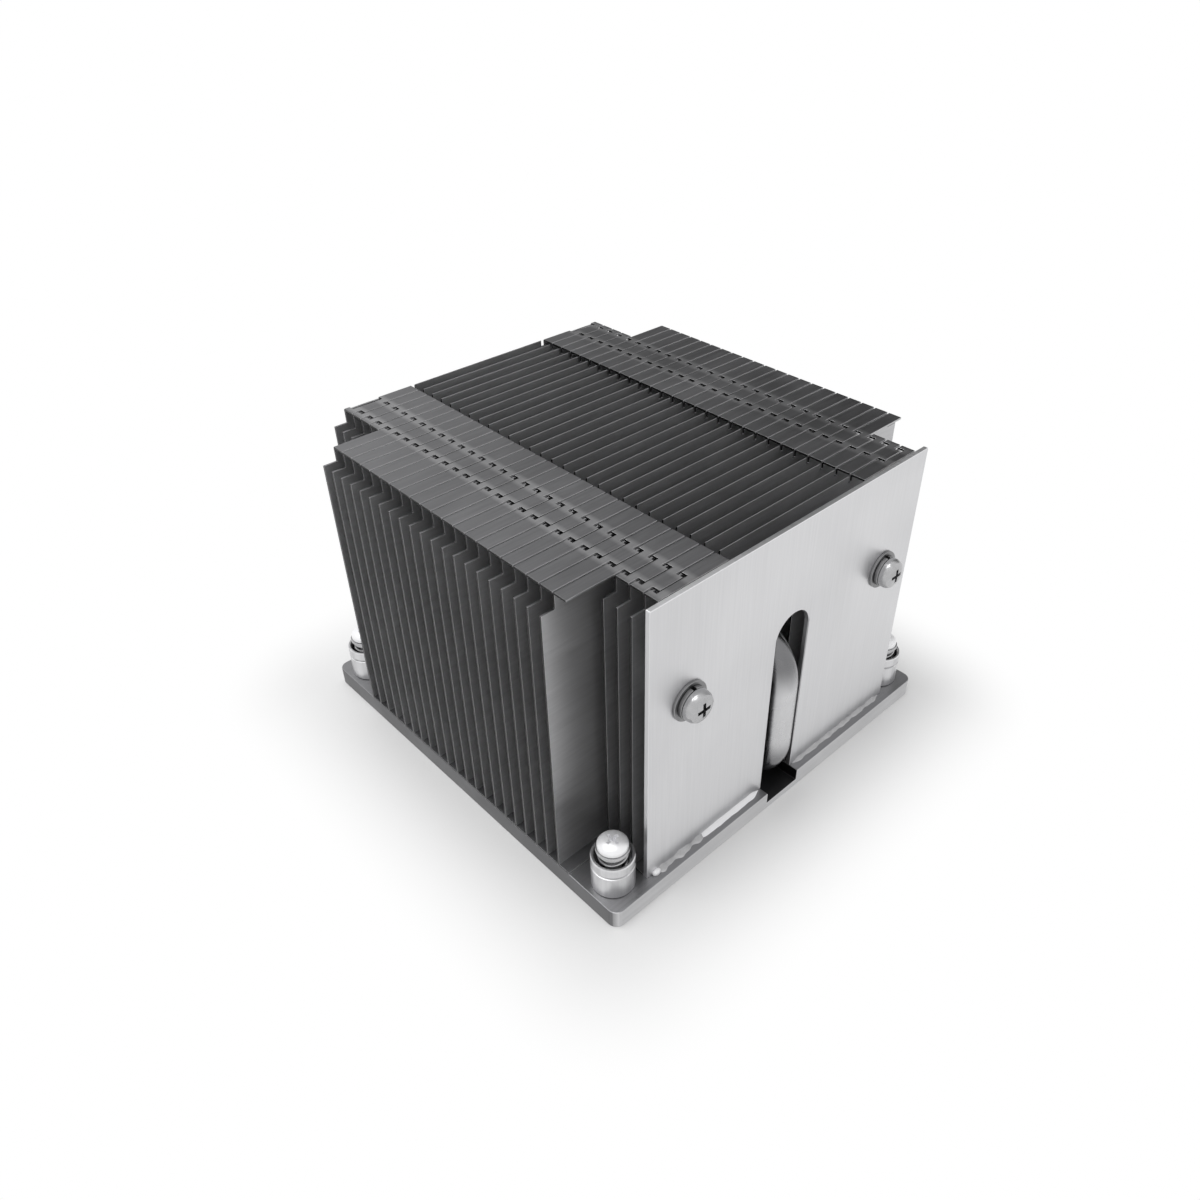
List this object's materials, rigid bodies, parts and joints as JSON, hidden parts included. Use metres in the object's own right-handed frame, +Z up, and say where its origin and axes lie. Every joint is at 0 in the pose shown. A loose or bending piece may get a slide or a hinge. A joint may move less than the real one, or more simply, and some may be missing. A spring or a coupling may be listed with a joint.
{
  "type": "passive server cpu heatsink",
  "caption": "Passive heat sink for a server processor: a square base plate under a stack of folded sheet fins with a bent heat pipe and a captive spring screw at each corner.",
  "frame": {"origin": "centre of the base plate's underside", "axes": "+Z up from the processor, X along the fins and the air, end plate on the -Y side"},
  "size_m": [0.09, 0.0935, 0.064],
  "materials": {
    "base": "satin, machined",
    "end_plate": "satin sheet",
    "fins": "bright sheet",
    "pipe": "nickel-plated, satin",
    "ferrule": "turned, bright",
    "screws": "plated, satin",
    "springs": "drawn wire"
  },
  "bodies": {
    "heat_sink": {"base_plate": "base", "end_plate": "end_plate", "heat_pipe": "pipe", "fin_01": "fins", "fin_02": "fins", "fin_03": "fins", "fin_04": "fins", "fin_05": "fins", "fin_06": "fins", "fin_07": "fins", "fin_08": "fins", "fin_09": "fins", "fin_10": "fins", "fin_11": "fins", "fin_12": "fins", "fin_13": "fins", "fin_14": "fins", "fin_15": "fins", "fin_16": "fins", "fin_17": "fins", "fin_18": "fins", "fin_19": "fins", "fin_20": "fins", "fin_21": "fins", "fin_22": "fins", "fin_23": "fins", "fin_24": "fins", "fin_25": "fins", "fin_26": "fins", "fin_27": "fins", "fin_28": "fins", "ferrules": "ferrule", "plate_screws": "screws", "flat_washers": "screws", "lock_washers": "screws", "plate_nuts": "screws", "spring_1": "springs", "spring_2": "springs", "spring_3": "springs", "spring_4": "springs"},
    "push_1": {"seat_washer_1": "screws"},
    "screw_1": {"captive_screw_1": "screws", "retaining_ring_1": "screws"},
    "push_2": {"seat_washer_2": "screws"},
    "screw_2": {"captive_screw_2": "screws", "retaining_ring_2": "screws"},
    "push_3": {"seat_washer_3": "screws"},
    "screw_3": {"captive_screw_3": "screws", "retaining_ring_3": "screws"},
    "push_4": {"seat_washer_4": "screws"},
    "screw_4": {"captive_screw_4": "screws", "retaining_ring_4": "screws"}
  },
  "joints": [
    {"name": "screw_1_push", "type": "slide", "parent": "heat_sink", "child": "push_1", "axis": [0, 0, -1], "range_m": [0, 0.0034], "stiffness_N_per_m": 1500, "springref_m": -0.002, "deforming": ["spring_1"]},
    {"name": "screw_1_turn", "type": "hinge", "parent": "push_1", "child": "screw_1", "pos_m": [-0.04, -0.04, 0.01], "axis": [0, 0, 1], "continuous": true},
    {"name": "screw_2_push", "type": "slide", "parent": "heat_sink", "child": "push_2", "axis": [0, 0, -1], "range_m": [0, 0.0034], "stiffness_N_per_m": 1500, "springref_m": -0.002, "deforming": ["spring_2"]},
    {"name": "screw_2_turn", "type": "hinge", "parent": "push_2", "child": "screw_2", "pos_m": [0.04, -0.04, 0.01], "axis": [0, 0, 1], "continuous": true},
    {"name": "screw_3_push", "type": "slide", "parent": "heat_sink", "child": "push_3", "axis": [0, 0, -1], "range_m": [0, 0.0034], "stiffness_N_per_m": 1500, "springref_m": -0.002, "deforming": ["spring_3"]},
    {"name": "screw_3_turn", "type": "hinge", "parent": "push_3", "child": "screw_3", "pos_m": [0.04, 0.04, 0.01], "axis": [0, 0, 1], "continuous": true},
    {"name": "screw_4_push", "type": "slide", "parent": "heat_sink", "child": "push_4", "axis": [0, 0, -1], "range_m": [0, 0.0034], "stiffness_N_per_m": 1500, "springref_m": -0.002, "deforming": ["spring_4"]},
    {"name": "screw_4_turn", "type": "hinge", "parent": "push_4", "child": "screw_4", "pos_m": [-0.04, 0.04, 0.01], "axis": [0, 0, 1], "continuous": true}
  ]
}
